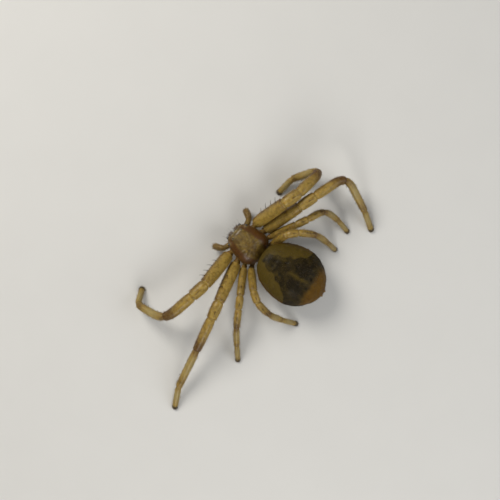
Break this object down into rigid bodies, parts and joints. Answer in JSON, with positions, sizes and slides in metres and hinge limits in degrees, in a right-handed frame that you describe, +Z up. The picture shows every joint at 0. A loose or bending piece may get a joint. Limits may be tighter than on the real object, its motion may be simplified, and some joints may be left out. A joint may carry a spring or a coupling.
{
  "type": "crab spider model",
  "caption": "Life-size crab spider standing with its long front legs spread sideways, broad flattened abdomen and blunt head, as a still display model.",
  "frame": {"origin": "on the floor, under the middle of the whole spider's box", "axes": "+Z up, the spider faces -Y, its own left side is +X"},
  "size_m": [0.0164, 0.008, 0.0033],
  "materials": {
    "shell": "satin",
    "limb": "satin, slightly translucent",
    "belly": "matt, finely bristled",
    "eye": "glossy"
  },
  "bodies": {
    "root": {"eye_front_median_left": "eye", "eye_front_lateral_left": "eye", "eye_rear_median_left": "eye", "eye_rear_lateral_left": "eye", "eye_front_median_right": "eye", "eye_front_lateral_right": "eye", "eye_rear_median_right": "eye", "eye_rear_lateral_right": "eye", "carapace": "shell", "sternum": "shell", "chelicera_left": "shell", "chelicera_right": "shell", "leg_left_1_coxa": "limb", "leg_left_1_femur": "limb", "leg_left_1_patella_tibia": "limb", "leg_left_1_metatarsus": "limb", "leg_left_1_tarsus": "limb", "leg_left_2_coxa": "limb", "leg_left_2_femur": "limb", "leg_left_2_patella_tibia": "limb", "leg_left_2_metatarsus": "limb", "leg_left_2_tarsus": "limb", "leg_left_3_coxa": "limb", "leg_left_3_femur": "limb", "leg_left_3_patella_tibia": "limb", "leg_left_3_metatarsus": "limb", "leg_left_3_tarsus": "limb", "leg_left_4_coxa": "limb", "leg_left_4_femur": "limb", "leg_left_4_patella_tibia": "limb", "leg_left_4_metatarsus": "limb", "leg_left_4_tarsus": "limb", "palp_left_femur": "limb", "palp_left_tarsus": "limb", "leg_right_1_coxa": "limb", "leg_right_1_femur": "limb", "leg_right_1_patella_tibia": "limb", "leg_right_1_metatarsus": "limb", "leg_right_1_tarsus": "limb", "leg_right_2_coxa": "limb", "leg_right_2_femur": "limb", "leg_right_2_patella_tibia": "limb", "leg_right_2_metatarsus": "limb", "leg_right_2_tarsus": "limb", "leg_right_3_coxa": "limb", "leg_right_3_femur": "limb", "leg_right_3_patella_tibia": "limb", "leg_right_3_metatarsus": "limb", "leg_right_3_tarsus": "limb", "leg_right_4_coxa": "limb", "leg_right_4_femur": "limb", "leg_right_4_patella_tibia": "limb", "leg_right_4_metatarsus": "limb", "leg_right_4_tarsus": "limb", "palp_right_femur": "limb", "palp_right_tarsus": "limb", "pedicel": "belly", "abdomen": "belly", "spinnerets": "belly"}
  },
  "joints": []
}
